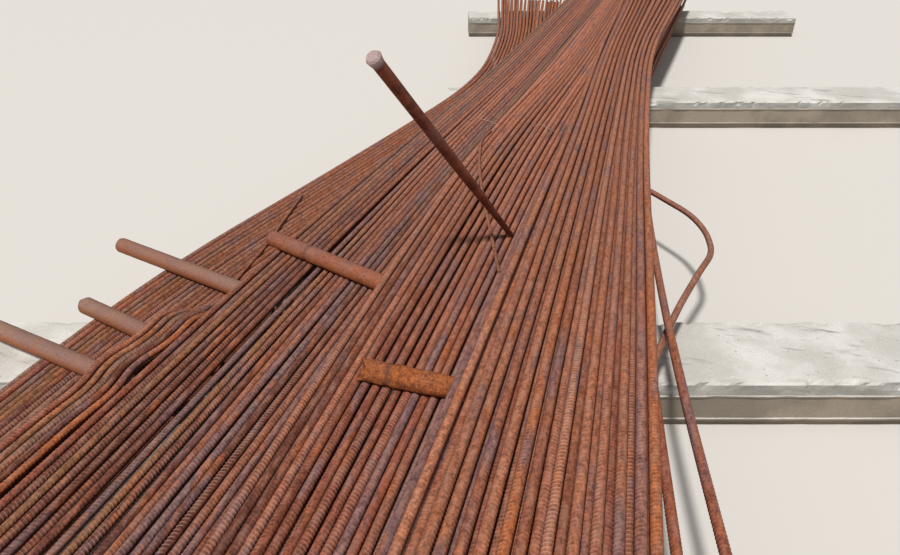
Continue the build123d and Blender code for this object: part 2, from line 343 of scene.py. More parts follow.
def bar_surface(line, bar_radius, roll, ribbed_to, offset):
    """A bar as a function of the distance along it and the angle round it.

    The radius is the bar's, plus the seam ridges at two opposite angles, plus the rib height times
    a crescent, the sine of the angle to a power. A ring is pushed along the bar by a zigzag of the
    angle, so that the ribs slant one way on one side and the other way on the other. It stands
    square to the line's slope there.
    """
    steps = np.linalg.norm(np.diff(line, axis=0), axis=1)
    run = np.concatenate([[0.0], np.cumsum(steps)])
    length = run[-1]
    places, heights, of_rib = ring_places(length, ribbed_to, offset)
    angle = np.arange(BAR_SIDES) * 2 * math.pi / BAR_SIDES
    zigzag = 2 * np.abs(angle / math.pi - 1) - 1
    along = places[:, None] + of_rib[:, None] * RIB_SLANT * zigzag[None, :]
    along = np.clip(along, 0, length)
    x, y, z = (np.interp(along, run, line[:, k]) for k in range(3))
    ahead = np.clip(along + SLOPE_REACH, 0, length)
    behind = np.clip(along - SLOPE_REACH, 0, length)
    tangent = np.stack([
        np.interp(ahead, run, line[:, k]) - np.interp(behind, run, line[:, k]) for k in range(3)
    ])
    tangent_x, tangent_y, tangent_z = tangent / np.linalg.norm(tangent, axis=0)
    level = np.hypot(tangent_x, tangent_y)
    crescent = np.abs(np.sin(angle)) ** CRESCENT_POWER
    seam = (np.abs(np.cos(angle)) > 0.99) * SEAM_HEIGHT
    radius = bar_radius + seam[None, :] + heights[:, None] * RIB_HEIGHT * crescent[None, :]
    radius[[0, -1]] = bar_radius * CUT_END_SHARE
    turned = angle[None, :] + roll
    out = radius * np.cos(turned) / level
    rise = radius * np.sin(turned)
    lean = rise * tangent_z / level
    vertices = np.stack([
        x + out * tangent_y - lean * tangent_x,
        y - out * tangent_x - lean * tangent_y,
        z + rise * level,
    ], axis=-1)
    crest = heights[:, None] * crescent[None, :]
    relief = 1 - of_rib[:, None] + 0 * crescent[None, :]
    return vertices, along, crest, relief


def wavering(line, seed, wander):
    """A line that wanders across by up to the given distance, and a little in height: smooth noise
    of the distance along the heap, in a slice of its own for each bar."""
    y = line[:, 1:2]
    sideways = lattice_noise(np.concatenate([y, 0 * y, 0 * y + 9.7 * seed], axis=1), 0.7, 31)
    upwards = lattice_noise(np.concatenate([y, 0 * y, 0 * y + 7.3 * seed], axis=1), 0.75, 57)
    return line + np.stack([wander * sideways, 0 * sideways, HEIGHT_WANDER * upwards], axis=1)


def bars_piece(name, node, lines, bar_radius, thickness, wander, ribbed, tints, seed):
    """Bars of one node as one mesh. thickness is the range of the bars' own share of the radius,
    and wander how far they stray across. ribbed says how far from its near end each bar has real
    ribs, and tints gives each bar its colour at its near end and at its far end."""
    chance = np.random.default_rng(seed)
    turn = np.arange(BAR_SIDES)
    all_vertices, all_quads, caps, uv, colours = [], [], [], [], []
    values = {"rib_crest": [], "bump_ribs": [], "bar_seed": [], "bar_dust_and_highlight": []}
    count = 0
    for number, line in enumerate(lines):
        roll = chance.uniform(0, math.pi)
        offset = chance.uniform(0, RIB_PITCH)
        line = wavering(line, chance.uniform(0, 40), wander)
        radius = bar_radius * chance.uniform(*thickness)
        vertices, along, crest, relief = bar_surface(line, radius, roll, ribbed[number], offset)
        rings = len(vertices)
        near_tint, far_tint = tints[number]
        share = np.clip(along / TINT_REACH, 0, 1)
        share = share * share * (3 - 2 * share)
        colour = (1 - share[..., None]) * near_tint + share[..., None] * far_tint
        caps += [count + turn[::-1], count + (rings - 1) * BAR_SIDES + turn]
        u = along - offset
        next_u = np.roll(u, -1, axis=1)
        v = np.tile(turn / BAR_SIDES, (rings, 1))
        next_v = v + 1 / BAR_SIDES
        corners = (
            (u[:-1], v[:-1]), (next_u[:-1], next_v[:-1]), (next_u[1:], next_v[1:]), (u[1:], v[1:])
        )
        face_uv = np.stack([np.stack(corner, axis=-1) for corner in corners], axis=2)
        uv.append(face_uv.reshape(-1, 2))
        all_vertices.append(vertices.reshape(-1, 3))
        all_quads.append(ring_quads(rings, BAR_SIDES) + count)
        colours.append(colour.reshape(-1, 3))
        values["rib_crest"].append(crest.reshape(-1))
        values["bump_ribs"].append(relief.reshape(-1))
        values["bar_seed"].append(np.full(crest.size, chance.uniform(0, 50)))
        values["bar_dust_and_highlight"].append(np.full(crest.size, chance.uniform(0, 1) ** 2))
        count += crest.size
    quads = np.concatenate(all_quads)
    # Turned over so that the faces look outwards
    piece = make_piece(name, np.concatenate(all_vertices), quads[:, ::-1], np.array(caps)[:, ::-1])
    uv_values = np.concatenate(uv).reshape(-1, 4, 2)[:, ::-1].reshape(-1, 2)
    cap_uv = np.zeros((len(caps) * BAR_SIDES, 2))
    uv_values = np.concatenate([uv_values, cap_uv]).astype(np.float32)
    layer = piece.data.uv_layers.new(name="along_bar")
    layer.data.foreach_set("uv", uv_values.reshape(-1))
    for kind, numbers in values.items():
        set_value(piece, kind, np.concatenate(numbers))
    set_colour(piece, "bar_tint", np.concatenate(colours))
    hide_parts(node)
    return piece


def smooth_route(corners):
    """Points along a route, with each bend a quadratic curve that takes up a share of the shorter
    run on both its sides."""
    corners = [np.array(corner) for corner in corners]
    points = [corners[0]]
    for before, corner, after in zip(corners, corners[1:], corners[2:]):
        back, ahead = before - corner, after - corner
        reach = BEND_SHARE * min(np.linalg.norm(back), np.linalg.norm(ahead))
        start = corner + back / np.linalg.norm(back) * reach
        end = corner + ahead / np.linalg.norm(ahead) * reach
        for share in np.linspace(0, 1, BEND_POINTS):
            middle = 2 * share * (1 - share) * corner
            points.append((1 - share) ** 2 * start + middle + share**2 * end)
    points.append(corners[-1])
    return np.array(points)


def pick_tints(count, near_palette, far_palette, seed):
    """A colour for each bar's near and far end, drawn from two weighted lists of rust colours, and
    lighter or darker from bar to bar."""
    chance = np.random.default_rng(seed)
    tints = []
    for _ in range(count):
        pair = []
        for palette in (near_palette, far_palette):
            colours, weights = zip(*palette)
            picked = chance.choice(len(colours), p=np.array(weights) / sum(weights))
            pair.append(np.array(colours[picked]) * chance.uniform(*BRIGHTNESS))
        tints.append(pair)
    return tints


# Pipes, stake and sleepers

def across(axis):
    """Two unit vectors square to an axis and to each other, the second as upright as can be."""
    first = np.cross(axis, (0, 0, 1))
    first /= np.linalg.norm(first)
    return first, np.cross(first, axis)


def pipe_piece(node, tints, ragged, grooves, scale, notch, seed):
    """A pipe as a closed skin, a function of the distance along it and the angle round it.

    The outside has the pipe's radius plus the scale's thickness and noise: low blisters about one
    and three centimetres wide, higher with more scale. At each groove it is less by a bell curve,
    and beside it more by another, the burr. At the ends the skin turns in over the wall's
    thickness and runs back inside. Each end is drawn in along the pipe by noise of the angle,
    times how ragged that end is, and the left end also by a notch, a power of the angle's cosine.
    """
    start, end = long_axis(node)
    if start[0] > end[0]:
        start, end = end, start
    length = np.linalg.norm(end - start)
    axis = (end - start) / length
    side, up = across(axis)
    rings = int(length / PIPE_STEP)
    angle = np.arange(PIPE_SIDES) * 2 * math.pi / PIPE_SIDES
    ring_angle = np.stack([np.cos(angle), np.sin(angle), 0 * angle + seed], axis=1)
    torn = [
        amount * (0.5 + 0.5 * lattice_noise(ring_angle * 1.3 + number, 0.55, seed + number)) ** 2
        for number, amount in enumerate(ragged)
    ]
    torn[0] = torn[0] + notch * np.maximum(np.cos(angle - 0.35), 0) ** 1.6
    torn[0] = torn[0] + 0.35 * notch * np.maximum(np.sin(angle), 0)
    share = np.linspace(0, 1, rings)[:, None]
    outside = torn[0] + share * (length - torn[0] - torn[1])
    radius = np.full(outside.shape, PIPE_RADIUS) + SCALE_THICKNESS * scale
    places = np.stack([outside, radius * np.cos(angle), radius * np.sin(angle) + seed], axis=-1)
    blisters = WIDE_BLISTER * lattice_noise(places, 0.03, seed)
    blisters += SMALL_BLISTER * lattice_noise(places, 0.012, seed + 5)
    radius += (0.5 + 1.9 * scale) * blisters
    for place in grooves:
        radius -= GROOVE_DEPTH * np.exp(-(((outside - place) / GROOVE_REACH) ** 2))
        radius += BURR_HEIGHT * np.exp(-(((outside - place - BURR_PLACE) / BURR_REACH) ** 2))
    bore_share = np.linspace(1, 0, BORE_RINGS)[:, None]
    inside = torn[0] + bore_share * (length - torn[0] - torn[1])
    inner_radius = np.full(inside.shape, PIPE_RADIUS - PIPE_WALL)
    along = np.concatenate([outside, inside])
    radius = np.concatenate([radius, inner_radius])
    vertices = (
        start + along[..., None] * axis
        + (radius * np.cos(angle))[..., None] * side + (radius * np.sin(angle))[..., None] * up
    )
    quads = ring_quads(len(vertices), PIPE_SIDES, closed=True)
    piece = make_piece("scaly_" + node, vertices.reshape(-1, 3), quads)
    share = np.clip(along / length, 0, 1).reshape(-1, 1)
    set_colour(piece, "pipe_tint", (1 - share) * np.array(tints[0]) + share * np.array(tints[1]))
    set_value(piece, "pipe_scale", np.full(share.size, scale))
    stains = (np.exp(-(((along - place) / GROOVE_STAIN_REACH) ** 2)) for place in grooves)
    set_value(piece, "pipe_groove", sum(stains) + 0 * along)
    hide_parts(node)
    return piece


def stake_piece():
    """The stake as a revolved profile: radius as a function of the distance from its point.

    The point is narrow, the shaft thickens fast over the taper and slowly from there up, and the
    head flares out. Noise of the angle and the distance dents the shaft a little and batters the
    head more.
    """
    start, end = long_axis("stake")
    if start[2] > end[2]:
        start, end = end, start
    length = np.linalg.norm(end - start)
    axis = (end - start) / length
    side, up = across(axis)
    neck = length - STAKE_HEAD
    profile = np.array([
        (0, 0.005), (0.005, 0.008), (STAKE_TAPER, 0.0138), (neck, 0.0148),
        (length - 0.014, 0.0172), (length - 0.007, 0.0182), (length - 0.001, 0.0140),
    ])
    head_places = np.linspace(neck, length, STAKE_HEAD_RINGS)
    along = np.concatenate([np.arange(0, neck, STAKE_STEP), head_places])
    radius = np.interp(along, profile[:, 0], profile[:, 1])[:, None]
    angle = np.arange(STAKE_SIDES) * 2 * math.pi / STAKE_SIDES
    places = np.stack(np.broadcast_arrays(along[:, None], np.cos(angle), np.sin(angle)), axis=-1)
    head = np.clip((along[:, None] - length + STAKE_HEAD) / 0.02, 0, 1)
    dents = lattice_noise(places * (12, 1, 1), 1.3, 3)
    head_dents = head * lattice_noise(places * (30, 1, 1), 0.9, 8)
    radius = radius * (1 + SHAFT_DENTS * dents + HEAD_DENTS * head_dents)
    driven = head * (0.5 + 0.5 * lattice_noise(places * (0, 1, 1), 0.8, 12))
    shift = along[:, None] - HEAD_SETBACK * driven
    vertices = (
        start + shift[..., None] * axis
        + (radius * np.cos(angle))[..., None] * side + (radius * np.sin(angle))[..., None] * up
    )
    rings = len(vertices)
    turn = np.arange(STAKE_SIDES)
    caps = np.array([turn[::-1], (rings - 1) * STAKE_SIDES + turn])
    quads = ring_quads(rings, STAKE_SIDES)
    piece = make_piece("battered_stake", vertices.reshape(-1, 3), quads, caps)
    set_value(piece, "from_head", np.repeat(length - along, STAKE_SIDES))
    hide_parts("stake")
    return piece


def sleeper_piece(node, seed):
    """A sleeper as its section carried along its length: a function of the way round the section
    and the distance along. The slab's edges are broken back by noise, in chips a few centimetres
    long, the thin lips are worn back by wider noise, and the top and the sides by low noise. All
    wear goes inwards."""
    vertices, _ = node_mesh(node)
    centre = (vertices.min(axis=0) + vertices.max(axis=0)) / 2
    half = SLEEPER_WIDTH / 2
    foot_half = half - FOOT_INSET
    block_half = half - BLOCK_INSET
    right = [
        (0, 0), (foot_half, 0), (foot_half, FOOT_HEIGHT), (half, FOOT_HEIGHT),
        (half, FOOT_HEIGHT + LIP_HEIGHT), (block_half, FOOT_HEIGHT + LIP_HEIGHT),
        (block_half, BLOCK_TOP - LIP_HEIGHT), (half, BLOCK_TOP - LIP_HEIGHT),
        (half, BLOCK_TOP), (block_half, BLOCK_TOP), (block_half, SLEEPER_TOP - SLAB_CHAMFER),
        (block_half - SLAB_CHAMFER, SLEEPER_TOP), (0, SLEEPER_TOP),
    ]
    loop = np.array(right + [(-x, z) for x, z in right[-2:0:-1]])
    after = np.roll(loop, -1, axis=0)
    section = []
    for here, there in zip(loop, after):
        steps = max(1, int(np.hypot(*(there - here)) / SECTION_STEP))
        section += [here + (there - here) * share for share in np.arange(steps) / steps]
    section = np.array(section)
    length_steps = int(SLEEPER_LENGTH / SLEEPER_STEP)
    along = np.linspace(-SLEEPER_LENGTH / 2, SLEEPER_LENGTH / 2, length_steps)
    x = np.tile(section[:, 0], (length_steps, 1))
    z = np.tile(section[:, 1], (length_steps, 1))
    y = np.tile(along[:, None], (1, len(section)))
    spot = np.stack([x, y + 3 * seed, z], axis=-1)
    to_edge = np.hypot(np.maximum(block_half - np.abs(x), 0), SLEEPER_TOP - z)
    near_edge = np.clip(1 - to_edge / CHIP_REACH, 0, 1)
    chips = lattice_noise(spot, 0.035, seed) + 0.6 * lattice_noise(spot, 0.014, seed + 1) - 0.05
    slab = z > BLOCK_TOP - 0.0005
    broken = near_edge * np.clip(chips, 0, 1) * slab
    lip = (np.abs(x) > half - 0.001) * np.clip(lattice_noise(spot, 0.06, seed + 2), 0, 1)
    wear = FACE_WEAR * (0.5 + 0.5 * lattice_noise(spot, 0.02, seed + 3))
    inward = CHIP_SIDE_DEPTH * broken + LIP_WEAR * lip + wear * (np.abs(x) > 0.05)
    x = x - np.sign(x) * inward
    z = z - (z > 0.001) * (CHIP_TOP_DEPTH * broken + wear * (z > SLEEPER_TOP - 0.001))
    angle = math.radians(SLEEPER_TURN)
    place_x = centre[0] + y * math.cos(angle) - x * math.sin(angle)
    place_y = centre[1] + y * math.sin(angle) + x * math.cos(angle)
    places = np.stack([place_x, place_y, z], axis=-1)
    count = len(section)
    turn = np.arange(count)
    caps = np.array([turn, (length_steps - 1) * count + turn[::-1]])
    quads = ring_quads(length_steps, count)[:, ::-1]
    piece = make_piece("worn_" + node, places.reshape(-1, 3), quads, caps, smooth=False)
    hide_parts(node)
    return piece


# Materials

def material(name):
    """A new node material, its node tree and its shader."""
    made = bpy.data.materials.new(name)
    made.use_nodes = True
    return made, made.node_tree, made.node_tree.nodes["Principled BSDF"]


def noise(tree, vector, scale, detail, roughness, distortion=0.0):
    """Noise of a given scale on a vector."""
    new = tree.nodes.new("ShaderNodeTexNoise")
    new.inputs["Scale"].default_value = scale
    new.inputs["Detail"].default_value = detail
    new.inputs["Roughness"].default_value = roughness
    new.inputs["Distortion"].default_value = distortion
    tree.links.new(vector, new.inputs["Vector"])
    return new.outputs["Fac"]


def calc(tree, operation, a, b, c=None):
    """One Math node."""
    new = tree.nodes.new("ShaderNodeMath")
    new.operation = operation
    for socket, value in zip(new.inputs, (a, b, c)):
        if value is None:
            continue
        if isinstance(value, (int, float)):
            socket.default_value = value
        else:
            tree.links.new(value, socket)
    return new.outputs[0]


def between(tree, value, low, high):
    """0 below low, 1 above high, smooth between."""
    new = tree.nodes.new("ShaderNodeMapRange")
    new.interpolation_type = "SMOOTHSTEP"
    new.inputs["From Min"].default_value = low
    new.inputs["From Max"].default_value = high
    tree.links.new(value, new.inputs["Value"])
    return new.outputs["Result"]


def mixed(tree, share, first, second, blend="MIX"):
    """Two colours mixed by a share."""
    new = tree.nodes.new("ShaderNodeMix")
    new.data_type = "RGBA"
    new.blend_type = blend
    for socket, value in ((new.inputs[0], share), (new.inputs[6], first), (new.inputs[7], second)):
        if isinstance(value, (int, float)):
            socket.default_value = value
        elif isinstance(value, tuple):
            socket.default_value = (*value, 1.0)
        else:
            tree.links.new(value, socket)
    return new.outputs[2]


def laid_on(tree, colour, share, strength, coat):
    """A coat over a colour, as far as a share from 0 to 1 says, times a strength."""
    return mixed(tree, calc(tree, "MULTIPLY", share, strength), colour, coat)


def mottled(tree, colour, value, low, high, dark, light, share=1.0):
    """A colour times a dark tone where a value is low and times a light one where it is high.
    share says how far that goes."""
    tone = mixed(tree, between(tree, value, low, high), dark, light)
    return mixed(tree, share, colour, tone, "MULTIPLY")


def upward(tree):
    """How far a face looks up: 1 on top, 0 on a wall and -1 underneath."""
    geometry = tree.nodes.new("ShaderNodeNewGeometry")
    parts = tree.nodes.new("ShaderNodeSeparateXYZ")
    tree.links.new(geometry.outputs["Normal"], parts.inputs[0])
    return parts.outputs["Z"]


def stretched(tree, scale):
    """Object coordinates, scaled apart along X, Y and Z."""
    place = tree.nodes.new("ShaderNodeTexCoord")
    mapping = tree.nodes.new("ShaderNodeMapping")
    mapping.inputs["Scale"].default_value = scale
    tree.links.new(place.outputs["Object"], mapping.inputs["Vector"])
    return mapping.outputs["Vector"]


def bump(tree, height, distance, strength=1.0, normal=None):
    """A bump of a height field."""
    new = tree.nodes.new("ShaderNodeBump")
    new.inputs["Strength"].default_value = strength
    new.inputs["Distance"].default_value = distance
    tree.links.new(height, new.inputs["Height"])
    if normal is not None:
        tree.links.new(normal, new.inputs["Normal"])
    return new.outputs["Normal"]


def attribute(tree, name, output="Fac"):
    """A value or colour stored on the mesh."""
    new = tree.nodes.new("ShaderNodeAttribute")
    new.attribute_name = name
    return new.outputs[output]


def shifted(tree, vector, amount):
    """A vector moved along all axes by an amount, to give each bar its own stretch of noise."""
    new = tree.nodes.new("ShaderNodeVectorMath")
    new.operation = "ADD"
    tree.links.new(vector, new.inputs[0])
    tree.links.new(amount, new.inputs[1])
    return new.outputs[0]


def bar_rust():
    """Rust on the ribbed bars: each bar's own tint, with short patches of orange rust and of
    grey-purple mill scale, grains and pits, painted shade on the flanks and undersides and beside
    the ribs, pale crests of dust with a painted highlight, and clouds of dust on top."""
    made, tree, shader = material("bar_rust")
    seed = attribute(tree, "bar_seed")
    along = shifted(tree, stretched(tree, (40, 9, 40)), seed)
    grain = shifted(tree, stretched(tree, (1, 0.7, 1)), seed)

    orange = between(tree, noise(tree, along, 1.0, 4.0, 0.6), 0.52, 0.66)
    colour = laid_on(tree, attribute(tree, "bar_tint", "Color"), orange, 0.75, ORANGE_RUST)
    mill_scale = between(tree, noise(tree, shifted(tree, along, seed), 0.6, 5.0, 0.62), 0.52, 0.66)
    colour = laid_on(tree, colour, mill_scale, 0.75, MILL_SCALE)
    specks = noise(tree, grain, 430, 3.0, 0.7)
    colour = laid_on(tree, colour, between(tree, specks, 0.57, 0.70), 0.75, PIT)
    grains = between(tree, noise(tree, shifted(tree, grain, seed), 330, 3.0, 0.7), 0.58, 0.70)
    colour = laid_on(tree, colour, grains, 0.5, RUST_GRAIN)
    fine = noise(tree, grain, 120, 5.0, 0.7)
    colour = mottled(tree, colour, fine, 0.32, 0.68, (0.56, 0.50, 0.48), (1.46, 1.42, 1.38))

    uv = tree.nodes.new("ShaderNodeUVMap")
    uv.uv_map = "along_bar"
    parts = tree.nodes.new("ShaderNodeSeparateXYZ")
    tree.links.new(uv.outputs["UV"], parts.inputs[0])
    zigzag = calc(tree, "PINGPONG", calc(tree, "MULTIPLY", parts.outputs["Y"], 2.0), 1.0)
    skewed = calc(tree, "MULTIPLY_ADD", zigzag, 2 * RIB_SLANT, parts.outputs["X"])
    phase = calc(tree, "PINGPONG", calc(tree, "DIVIDE", skewed, RIB_PITCH), 0.5)
    ridge = between(tree, calc(tree, "SUBTRACT", 0.5, phase), 0.30, 0.48)
    ridge = calc(tree, "MULTIPLY", ridge, attribute(tree, "bump_ribs"))
    crest = calc(tree, "MAXIMUM", ridge, attribute(tree, "rib_crest"))
    # Pale crests: dust on the ribs with a painted highlight, stronger on some bars than others
    dust_and_highlight_share = calc(tree, "MULTIPLY_ADD", attribute(tree, "bar_dust_and_highlight"), 0.70, 0.05)
    pale = mixed(tree, dust_and_highlight_share, colour, CREST_DUST_AND_HIGHLIGHT)
    # Painted shade beside the ribs: the colour away from the crests is darkened
    painted_rib_shade = mixed(tree, 1.0, colour, (0.84, 0.76, 0.73), "MULTIPLY")
    colour = mixed(tree, crest, painted_rib_shade, pale)

    up = upward(tree)
    # Painted shade: the flanks and undersides of the bars are darkened, as if shade fell in the
    # gaps between them
    colour = mottled(tree, colour, up, -0.15, 0.55, (0.52, 0.30, 0.25), (1.0, 1.0, 1.0))
    dust_clouds = between(tree, noise(tree, along, 2.3, 4.0, 0.6), 0.42, 0.68)
    dust = calc(tree, "MULTIPLY", between(tree, up, 0.35, 1.0), dust_clouds)
    colour = laid_on(tree, colour, dust, 0.3, DUST)
    tree.links.new(colour, shader.inputs["Base Color"])
    shader.inputs["Specular IOR Level"].default_value = 0.28
    rough = calc(tree, "MULTIPLY_ADD", fine, 0.22, 0.60)
    tree.links.new(rough, shader.inputs["Roughness"])
    first = bump(tree, ridge, 0.0012, 1.0)
    tree.links.new(bump(tree, specks, 0.0010, 0.7, first), shader.inputs["Normal"])
    return made


def pipe_rust():
    """Rust on the pipes: a grey-brown skin in clouds over each pipe's own tint, orange rust with
    painted shade on the flanks and underneath, dark in the grooves, and on a scaly pipe flakes
    with bright orange between them. A pipe with less scale has a smoother, greyer skin."""
    made, tree, shader = material("pipe_rust")
    vector = stretched(tree, (1, 1, 1))
    scaly = attribute(tree, "pipe_scale")
    clouds = noise(tree, vector, 14, 5.0, 0.6)
    blots = noise(tree, vector, 34, 5.0, 0.65)
    flakes = noise(tree, vector, 62, 6.0, 0.7, 0.6)
    greyed = calc(tree, "MULTIPLY_ADD", scaly, -0.42, 0.6)
    roughened = calc(tree, "MULTIPLY_ADD", scaly, 0.6, 0.4)

    tint = attribute(tree, "pipe_tint", "Color")
    cloudy = between(tree, clouds, 0.42, 0.60)
    colour = laid_on(tree, tint, cloudy, greyed, linear(134, 106, 102))
    # Orange rust on the flanks and underneath, darker than the top: partly painted shade
    flank_rust_and_shade = calc(tree, "SUBTRACT", 1.0, between(tree, upward(tree), -0.10, 0.85))
    colour = laid_on(tree, colour, flank_rust_and_shade, 0.9, linear(148, 88, 54))
    colour = laid_on(tree, colour, between(tree, blots, 0.54, 0.66), 0.4, linear(160, 94, 58))
    bare = calc(tree, "MULTIPLY", between(tree, flakes, 0.50, 0.60), scaly)
    colour = laid_on(tree, colour, bare, 0.5, linear(196, 116, 60))
    crust = calc(tree, "MULTIPLY", between(tree, flakes, 0.48, 0.38), scaly)
    colour = laid_on(tree, colour, crust, 0.6, linear(104, 56, 38))
    fine = noise(tree, vector, 230, 4.0, 0.7)
    dark, light = (0.62, 0.56, 0.52), (1.34, 1.32, 1.30)
    colour = mottled(tree, colour, fine, 0.32, 0.68, dark, light, roughened)
    pits = between(tree, noise(tree, vector, 120, 3.0, 0.65), 0.60, 0.70)
    colour = laid_on(tree, colour, pits, calc(tree, "MULTIPLY", roughened, 0.7), PIT)
    colour = laid_on(tree, colour, attribute(tree, "pipe_groove"), 0.55, linear(92, 66, 60))
    tree.links.new(colour, shader.inputs["Base Color"])
    shader.inputs["Specular IOR Level"].default_value = 0.2
    tree.links.new(calc(tree, "MULTIPLY_ADD", fine, 0.2, 0.70), shader.inputs["Roughness"])
    height = calc(tree, "MULTIPLY", flakes, calc(tree, "MULTIPLY_ADD", scaly, 0.8, 0.2))
    first = bump(tree, height, 0.006, 1.0)
    tree.links.new(bump(tree, fine, 0.0010, 0.6, first), shader.inputs["Normal"])
    return made


def sleeper_concrete():
    """Bleached, pitted concrete: near white on top, grey on the slab's sides and grey-brown on the
    block and the foot, the sides all darkened as painted shade."""
    made, tree, shader = material("sleeper_concrete")
    vector = stretched(tree, (1, 1, 1))
    place = tree.nodes.new("ShaderNodeSeparateXYZ")
    tree.links.new(vector, place.inputs[0])
    clouds = noise(tree, vector, 5, 6.0, 0.6)
    streaks = noise(tree, stretched(tree, (5, 26, 26)), 1.0, 5.0, 0.6)
    top = mixed(tree, between(tree, clouds, 0.35, 0.68), (0.60, 0.585, 0.55), (0.80, 0.79, 0.76))
    top = mixed(tree, between(tree, streaks, 0.56, 0.70), top, (0.40, 0.39, 0.365))
    cloudy = between(tree, clouds, 0.38, 0.62)
    # Painted shade: the side faces of the block and of the slab are darker than the top
    shaded_block_side = mixed(tree, cloudy, (0.235, 0.205, 0.165), (0.33, 0.28, 0.225))
    streaky = between(tree, streaks, 0.4, 0.6)
    shaded_slab_side = mixed(tree, streaky, (0.30, 0.295, 0.275), (0.42, 0.41, 0.385))
    on_slab = between(tree, place.outputs["Z"], BLOCK_TOP - 0.001, BLOCK_TOP + 0.003)
    side = mixed(tree, on_slab, shaded_block_side, shaded_slab_side)
    # The top, or the sides with their painted shade, by how far a face looks up
    colour = mixed(tree, between(tree, upward(tree), 0.35, 0.8), side, top)
    pits = between(tree, noise(tree, vector, 70, 3.0, 0.6), 0.66, 0.74)
    colour = laid_on(tree, colour, pits, 0.6, (0.17, 0.155, 0.135))
    grit = noise(tree, vector, 240, 4.0, 0.7)
    colour = mottled(tree, colour, grit, 0.3, 0.7, (0.88, 0.88, 0.88), (1.08, 1.08, 1.08))
    tree.links.new(colour, shader.inputs["Base Color"])
    shader.inputs["Specular IOR Level"].default_value = 0.2
    shader.inputs["Roughness"].default_value = 0.88
    first = bump(tree, clouds, 0.004, 0.5)
    tree.links.new(bump(tree, grit, 0.0012, 0.7, first), shader.inputs["Normal"])
    return made


def stake_steel():
    """Dark red-brown steel with lighter stains, and a pale battered head with a painted highlight.
    """
    made, tree, shader = material("stake_steel")
    vector = stretched(tree, (1, 1, 1))
    clouds = noise(tree, vector, 28, 5.0, 0.65)
    stains = noise(tree, vector, 9, 4.0, 0.6)
    cloudy = between(tree, clouds, 0.40, 0.66)
    colour = mixed(tree, cloudy, linear(124, 66, 46), linear(92, 46, 34))
    colour = mixed(tree, between(tree, stains, 0.58, 0.72), colour, linear(112, 70, 60))
    from_head = attribute(tree, "from_head")
    # Pale head: worn metal with a painted highlight on its end
    pale = calc(tree, "SUBTRACT", 1.0, between(tree, from_head, 0.012, 0.034))
    colour = laid_on(tree, colour, pale, 0.85, linear(180, 162, 164))
    fine = noise(tree, vector, 300, 4.0, 0.65)
    colour = mottled(tree, colour, fine, 0.3, 0.7, (0.75, 0.73, 0.72), (1.28, 1.24, 1.2))
    tree.links.new(colour, shader.inputs["Base Color"])
    shader.inputs["Specular IOR Level"].default_value = 0.3
    tree.links.new(calc(tree, "MULTIPLY_ADD", clouds, 0.3, 0.5), shader.inputs["Roughness"])
    tree.links.new(bump(tree, fine, 0.001, 0.7), shader.inputs["Normal"])
    return made


def wire_rust(name, light, dark):
    """Thin rods and wires: two tones of light rust in short clouds."""
    made, tree, shader = material(name)
    vector = stretched(tree, (1, 1, 1))
    clouds = noise(tree, vector, 90, 5.0, 0.65)
    colour = mixed(tree, between(tree, clouds, 0.4, 0.62), light, dark)
    tree.links.new(colour, shader.inputs["Base Color"])
    shader.inputs["Specular IOR Level"].default_value = 0.3
    shader.inputs["Roughness"].default_value = 0.7
    tree.links.new(bump(tree, clouds, 0.0006, 0.6), shader.inputs["Normal"])
    return made


def finish_with(piece, made):
    """Gives a piece or a CAD node its one material."""
    piece.data.materials.clear()
    piece.data.materials.append(made)


# The layers of bars: radius, range of thickness, how far they stray across, how many from the left
# have real ribs, and the colours of their near and far ends with a weight for each

bar_material = bar_rust()
layers = {
    "bars_layer_1": (
        BAR_RADIUS, (0.94, 1.04), 0.0010, 0,
        ((MUD, 2), (BROWN_RUST, 3), (DARK_RUST, 3)),
        ((ORANGE_RUST, 3), (BROWN_RUST, 2)),
    ),
    "bars_layer_2": (
        BAR_RADIUS, (0.94, 1.05), 0.0010, 20,
        (
            (BROWN_RUST, 2), (RED_RUST, 3), (MUD, 2), (DARK_RUST, 5), (ORANGE_RUST, 1),
            (GREY_BROWN, 1),
        ),
        ((ORANGE_RUST, 4), (LIGHT_RUST, 2), (BROWN_RUST, 2)),
    ),
    "bars_layer_3": (
        BAR_RADIUS, (0.93, 1.08), 0.0024, 21,
        (
            (RED_RUST, 3), (BROWN_RUST, 1), (PURPLE_SCALE, 3), (BLUE_SCALE, 3), (DARK_RUST, 5),
            (MUD, 1),
        ),
        ((PALE_RUST, 3), (LIGHT_RUST, 2), (PURPLE_RUST, 3), (GREY_BROWN, 2)),
    ),
    "bars_layer_4": (
        BAR_RADIUS, (1.02, 1.15), 0.0020, 16,
        ((RED_RUST, 4), (BROWN_RUST, 2), (PURPLE_SCALE, 2), (DARK_RUST, 5)),
        ((PALE_RUST, 5), (LIGHT_RUST, 2)),
    ),
    "bars_layer_5": (
        TOP_BAR_RADIUS, (0.94, 1.08), 0.0020, 13,
        ((RED_RUST, 3), (BROWN_RUST, 3), (PURPLE_SCALE, 1), (LIGHT_RUST, 1)),
        ((BROWN_RUST, 3), (LIGHT_RUST, 2)),
    ),
    "bars_layer_6": (
        TOP_BAR_RADIUS, (0.94, 1.08), 0.0020, 13,
        (
            (BROWN_RUST, 5), (LIGHT_RUST, 4), (ORANGE_RUST, 2), (PURPLE_RUST, 2),
            (PURPLE_SCALE, 1),
        ),
        ((LIGHT_RUST, 4), (BROWN_RUST, 2), (PURPLE_RUST, 1)),
    ),
}
